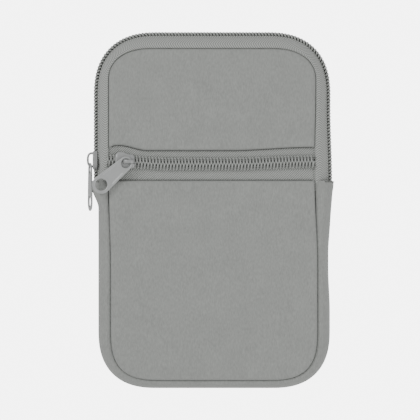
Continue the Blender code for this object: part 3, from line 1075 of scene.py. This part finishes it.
def make_linings():
    """The sheets inside: two linings behind the panels, a slip pocket and the divider."""
    flat_sheet("back_lining_cloth", "back_lining", ccw(inset_loop(ccw(WHOLE), LINING_INSET)),
               node_middle_y("back_lining"))
    flat_sheet("flap_lining_cloth", "flap_lining", inset_loop(ccw(UPPER), LINING_INSET),
               node_middle_y("flap_lining"), folds=True)
    low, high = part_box("inner_slip_pocket")
    left, right = low.x / MM, high.x / MM
    bottom, top = (low.z - BASE_Z) / MM, (high.z - BASE_Z) / MM
    corners = [(left, bottom), (right, bottom), (right, top), (0, top - SLIP_EDGE_DIP), (left, top)]
    pocket = resample(corners, 2.0, True)
    flat_sheet("inner_slip_pocket_cloth", "inner_slip_pocket", pocket,
               node_middle_y("inner_slip_pocket"))
    low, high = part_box("pocket_divider")
    top = (high.z - BASE_Z) / MM
    half = high.x / MM
    line = under_the_bottom(-half, half, top, (low.z - BASE_Z) / MM, DIVIDER_CORNER)
    flat_sheet("pocket_divider_cloth", "pocket_divider", ccw(resample(line, 2.0, True)),
               node_middle_y("pocket_divider"))


make_linings()


# ---------------------------------------------------------------- sliders and pull tabs

def cast(name, shells):
    """Fuses closed shells into one cast piece with softened edges."""
    points, faces = [], []
    for shell_points, shell_faces in shells:
        start = len(points)
        points += shell_points
        faces += [tuple(start + k for k in face) for face in shell_faces]
    piece = new_piece(name, points, faces, CASTING_SHADE_MAT)
    remesh = piece.modifiers.new("cast", "REMESH")
    remesh.mode = "VOXEL"
    remesh.voxel_size = CASTING_VOXEL * MM
    remesh.use_smooth_shade = True
    smooth = piece.modifiers.new("soften", "SMOOTH")
    smooth.factor = 0.5
    smooth.iterations = CASTING_SMOOTHING
    return apply_modifiers(piece)


def apply_modifiers(piece):
    """Replaces the piece's mesh with its evaluated mesh."""
    evaluated = piece.evaluated_get(bpy.context.evaluated_depsgraph_get())
    mesh = bpy.data.meshes.new_from_object(evaluated)
    piece.modifiers.clear()
    piece.data = mesh
    mesh.shade_smooth()
    return piece


def loft(sections):
    """A closed shell through equal rings of points."""
    points = [point for ring in sections for point in ring]
    return points, ring_faces(len(sections), len(sections[0]))


SLIDER_FRONT = 4.75
SLIDER_REAR = -4.6
PLATE_SKIN_OUT = 2.0
# Sections of the slider's plates: across as a share of the half width, and out from the tape.
TOP_PLATE = [(-1.0, 0.35), (-1.0, 2.05), (-0.88, 2.45), (-0.5, 2.68), (0.0, 2.72), (0.5, 2.68),
             (0.88, 2.45), (1.0, 2.05), (1.0, 0.35), (0.8, 0.35), (0.8, 1.9), (-0.8, 1.9), (-0.8, 0.35)]
BOTTOM_PLATE = [(-0.92, -0.75), (0.92, -0.75), (0.95, -1.2), (0.75, -1.7), (-0.75, -1.7), (-0.95, -1.2)]
POST = [(1.4, -0.3), (4.3, -0.3), (4.3, 0.3), (1.4, 0.3)]
POST_ENDS = (-1.0, 2.2)
CROWN_ROOT = 2.3
CROWN_RISE = 3.19
MAIN_CROWN = (-3.65, 3.35)
POCKET_CROWN = (-4.65, 0.95)
MAIN_CROWN_STRAP = 0.55
POCKET_CROWN_STRAP = 0.42
CASTING_VOXEL = 0.13
CASTING_SMOOTHING = 4
POCKET_SLIDER_RISE = 0.9
MAIN_PULL_TWIST = math.radians(13)
POCKET_PULL_DROOP = math.radians(41)


def rounded_off(distance, size):
    """Shortfall of a rounded corner of the size at a distance from the end, from 1 down to 0."""
    share = min(max(1 - distance / size, 0.0), 1.0)
    return 1 - math.sqrt(1 - share ** 2)


def plan_half_width(along):
    """Half the slider's width: broad rounded shoulders at the front, narrower at the rear."""
    share = (along - SLIDER_REAR) / (SLIDER_FRONT - SLIDER_REAR)
    width = 3.35 + 1.2 * eased(share, 0.25, 0.68)
    width -= 2.3 * rounded_off(SLIDER_FRONT - along, 2.6)
    return width - 1.5 * rounded_off(along - SLIDER_REAR, 1.7)


def slider_shells(to_frame, crown, strap):
    """Top plate with lips, bottom plate, post and crown, each closed and sunk into its neighbour."""
    alongs = np.linspace(SLIDER_REAR, SLIDER_FRONT, 25)
    top, bottom = [], []
    for along in alongs:
        half = plan_half_width(along)
        fall = 0.8 * rounded_off(min(along - SLIDER_REAR, SLIDER_FRONT - along), 1.8)
        top.append([to_frame(along, share * half, out - fall * (out > PLATE_SKIN_OUT))
                    for share, out in TOP_PLATE])
        bottom.append([to_frame(along, share * half, out) for share, out in BOTTOM_PLATE])
    post = [[to_frame(*spot, out) for spot in POST] for out in POST_ENDS]
    return [loft(top), loft(bottom), loft(post), crown_shell(to_frame, crown, strap)]


def crown_shell(to_frame, crown, strap):
    """The arched strap that holds the pull; crown gives its two feet along the slider."""
    rear, front = crown
    middle, half_span = (rear + front) / 2, (front - rear) / 2
    rings = []
    for k in range(25):
        angle = math.pi * k / 24
        bow = abs(math.sin(angle)) ** 0.6
        along = middle - (half_span - 0.4) * signed_power(math.cos(angle), 0.75)
        out = CROWN_ROOT + (CROWN_RISE - strap) * bow
        normal_along, normal_out = -math.cos(angle), math.sin(angle)
        half_width = 0.85 + 0.35 * (1 - bow)
        ring = []
        for c in range(8):
            turn = 2 * math.pi * c / 8
            across = half_width * signed_power(math.cos(turn), 0.6)
            lift = strap * signed_power(math.sin(turn), 0.8)
            ring.append(to_frame(along + normal_along * lift, across, out + normal_out * lift))
        rings.append(ring)
    return loft(rings)


EYE_AT, EYE_HOLE, EYE_OUTER = 2.7, 2.15, 3.2
END_AT, END_HOLE, END_OUTER = 17.7, 2.75, 4.3
PULL_HALF_THICKNESS = 0.475
PULL_INSETS = [0.07, 0.16, 0.28, 0.45, 0.9, 1.15]
PULL_SPACING = 0.55
RECESS_FROM = 6.4
RECESS_TO = 14.2
RECESS_DEPTH = 0.24
RIM_WIDTH = 0.9


def arc(centre, radius, start, end, steps):
    angles = np.linspace(start, end, steps)
    return [(centre + radius * math.cos(a), radius * math.sin(a)) for a in angles]


def make_pull(name, node, body, pivot, direction, sideways, outward):
    """A pull tab with a raised rim, a recessed middle and two round holes."""
    lean = math.asin((END_OUTER - EYE_OUTER) / (END_AT - EYE_AT))
    side = math.pi / 2 + lean
    outline = arc(END_AT, END_OUTER, -side, side, 40)
    outline += arc(EYE_AT, EYE_OUTER, side, 2 * math.pi - side, 34)
    outer = resample(outline, 0.35, True)
    end_hole = np.array(arc(END_AT, END_HOLE, 0, 2 * math.pi, 49)[:-1])
    eye_hole = np.array(arc(EYE_AT, EYE_HOLE, 0, 2 * math.pi, 39)[:-1])

    def heights(points, edge):
        edge_round = 0.30 * np.exp(-(edge / 0.16) ** 1.1)
        starting = np.clip((points[:, 0] - RECESS_FROM) / 0.5, 0, 1)
        ending = np.clip((RECESS_TO - points[:, 0]) / 0.5, 0, 1)
        recess = RECESS_DEPTH * starting * ending * np.clip((edge - RIM_WIDTH) / 0.25, 0, 1)
        height = PULL_HALF_THICKNESS - edge_round - recess
        return height, -height

    def to_frame(along, across, out):
        return pivot + (direction * along + sideways * across + outward * out) * MM

    piece = slab(name, outer, [eye_hole, end_hole], PULL_INSETS, PULL_SPACING, heights, to_frame,
                 METAL_MAT)
    piece.data.set_sharp_from_angle(angle=math.radians(50))
    place_on(piece, "painted_metal", node, body=body)


def joint_point(name):
    return Vector(JOINTS[name]["pos_m"])


def make_sliders():
    """Both sliders and their pull tabs, at the closed ends of their zips."""
    low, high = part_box("main_slider_body")
    main_z = ((low.z + high.z) / 2 - BASE_Z) / MM

    def main_frame(along, across, out):
        return place(-ZIP_HALF - out, across, main_z - along)

    shells = slider_shells(main_frame, MAIN_CROWN, MAIN_CROWN_STRAP)
    body = cast("main_slider_casting", shells)
    place_on(body, "painted_metal", "main_slider_body", body="main_slider")
    twist = Matrix.Rotation(MAIN_PULL_TWIST, 3, "Z")
    make_pull("main_pull_plate", "main_pull_tab", "main_pull", joint_point("main_pull_swing"),
              Vector((0, 0, -1)), twist @ Vector((0, 1, 0)), twist @ Vector((-1, 0, 0)))

    low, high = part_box("pocket_slider_body")
    pocket_x = (low.x + high.x) / 2 / MM

    def pocket_frame(along, across, out):
        return place(pocket_x - along, TAPE_FACE_Y - out, CHAIN_Z + POCKET_SLIDER_RISE + across)

    shells = slider_shells(pocket_frame, POCKET_CROWN, POCKET_CROWN_STRAP)
    body = cast("pocket_slider_casting", shells)
    place_on(body, "painted_metal", "pocket_slider_body", body="pocket_slider")
    droop_cos, droop_sin = math.cos(POCKET_PULL_DROOP), math.sin(POCKET_PULL_DROOP)
    direction = Vector((-droop_cos, 0, -droop_sin))
    eye = joint_point("pocket_pull_swing") + Vector((-EYE_AT * MM, 0, 0))
    make_pull("pocket_pull_plate", "pocket_pull_tab", "pocket_pull", eye - direction * EYE_AT * MM,
              direction, Vector((droop_sin, 0, -droop_cos)), Vector((0, -1, 0)))


make_sliders()


# ---------------------------------------------------------------- cord loops

LOOP_COLUMNS = 15
LOOP_HALF_THICKNESS = 0.38
LOOP_WEAVE_HALF = 5.0


def make_cord_loops():
    """Bridges of woven tape on the back, with flat feet tacked to the panel."""
    for word in ("left", "right"):
        low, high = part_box(f"{word}_cord_loop")
        centre_x = (low.x + high.x) / 2 / MM
        half_x = (high.x - low.x) / 2 / MM
        centre_z = ((low.z + high.z) / 2 - BASE_Z) / MM
        reach_z = (high.z - low.z) / 2 / MM
        base = (low.y - MID_Y) / MM + 0.25
        rise = (high.y - low.y) / MM - 0.65
        line = []
        for k in range(61):
            t = -1 + 2 * k / 60
            z = centre_z + reach_z * t
            flank = eased(abs(t), 0.45, 0.78)
            line.append((base + rise * (1 - flank) + 0.15, z))
        line = np.array(line)
        tangent = np.gradient(line, axis=0)
        tangent /= np.linalg.norm(tangent, axis=1)[:, None]
        points, weave = [], []
        travelled = np.concatenate([[0], np.cumsum(np.linalg.norm(np.diff(line, axis=0), axis=1))])
        for (y, z), (ty, tz), s in zip(line, tangent, travelled):
            for side in (1, -1):
                for share in side * np.linspace(-1, 1, LOOP_COLUMNS):
                    half = LOOP_HALF_THICKNESS * (1 - abs(share) ** 8 * 0.7)
                    x = centre_x + share * half_x
                    points.append(place(x, y + side * half * tz, z - side * half * ty))
                    weave.append((s, share * LOOP_WEAVE_HALF, 0.0))
        faces = ring_faces(len(line), 2 * LOOP_COLUMNS)
        piece = new_piece(f"{word}_cord_loop_webbing", points, faces, TAPE_MAT, weave)
        place_on(piece, "zip_tape", f"{word}_cord_loop")


make_cord_loops()


# ---------------------------------------------------------------- stage

FLOOR_RADIUS = 0.30
FLOOR_Z = -130
AMBIENT_STRENGTH = 0.72
BACKDROP_STRENGTH = 6.0
VIEW_WIDTH = 194.7
VIEW_X = -0.9
VIEW_Z = 82.1
LIGHTS_TARGET_Z = 82


def make_stage():
    """A round pale floor, soft light from all round, and a brighter backdrop seen by the camera."""
    disc = bmesh.new()
    bmesh.ops.create_circle(disc, cap_ends=True, segments=96, radius=FLOOR_RADIUS)
    mesh = bpy.data.meshes.new("floor")
    disc.to_mesh(mesh)
    disc.free()
    floor = bpy.data.objects.new("floor", mesh)
    floor.location = place(0, 0, FLOOR_Z)
    material, _, _ = base_material("floor_look", (0.86, 0.86, 0.86), 0.8)
    mesh.materials.append(material)
    bpy.context.scene.collection.objects.link(floor)
    world = bpy.data.worlds.new("studio")
    bpy.context.scene.world = world
    world.use_nodes = True
    tree = world.node_tree
    tree.nodes.clear()
    output = add_node(tree, "ShaderNodeOutputWorld")
    ambient = add_node(tree, "ShaderNodeBackground")
    ambient.inputs["Color"].default_value = (1, 1, 1, 1)
    ambient.inputs["Strength"].default_value = AMBIENT_STRENGTH
    seen = add_node(tree, "ShaderNodeBackground")
    seen.inputs["Color"].default_value = (1, 1, 1, 1)
    seen.inputs["Strength"].default_value = BACKDROP_STRENGTH
    mix = add_node(tree, "ShaderNodeMixShader")
    path = add_node(tree, "ShaderNodeLightPath")
    tree.links.new(path.outputs["Is Camera Ray"], mix.inputs["Fac"])
    tree.links.new(ambient.outputs["Background"], mix.inputs[1])
    tree.links.new(seen.outputs["Background"], mix.inputs[2])
    tree.links.new(mix.outputs["Shader"], output.inputs["Surface"])


def add_light(name, location, size, power, target):
    light = bpy.data.lights.new(name, "AREA")
    light.shape = "SQUARE"
    light.size = size
    light.energy = power
    lamp = bpy.data.objects.new(name, light)
    lamp.location = location
    lamp.visible_camera = False
    lamp.rotation_mode = "QUATERNION"
    lamp.rotation_quaternion = (target - lamp.location).to_track_quat("-Z", "Y")
    bpy.context.scene.collection.objects.link(lamp)


def make_lights():
    target = place(0, 0, LIGHTS_TARGET_Z)
    add_light("key", target + Vector((-0.9, -0.75, 0.55)), 0.5, 5.0, target)
    add_light("fill", target + Vector((0.75, -0.8, -0.35)), 0.8, 3.2, target)
    add_light("back", target + Vector((0.3, 0.9, 0.6)), 0.6, 5.0, target)


def make_camera():
    camera = bpy.data.cameras.new("camera")
    camera.lens = 300
    camera.sensor_width = 36
    view = bpy.data.objects.new("camera", camera)
    distance = VIEW_WIDTH * camera.lens / camera.sensor_width
    view.location = place(VIEW_X, -FACE_Y - distance, VIEW_Z)
    view.rotation_euler = (math.pi / 2, 0, 0)
    bpy.context.scene.collection.objects.link(view)
    bpy.context.scene.camera = view


make_stage()
make_lights()
make_camera()
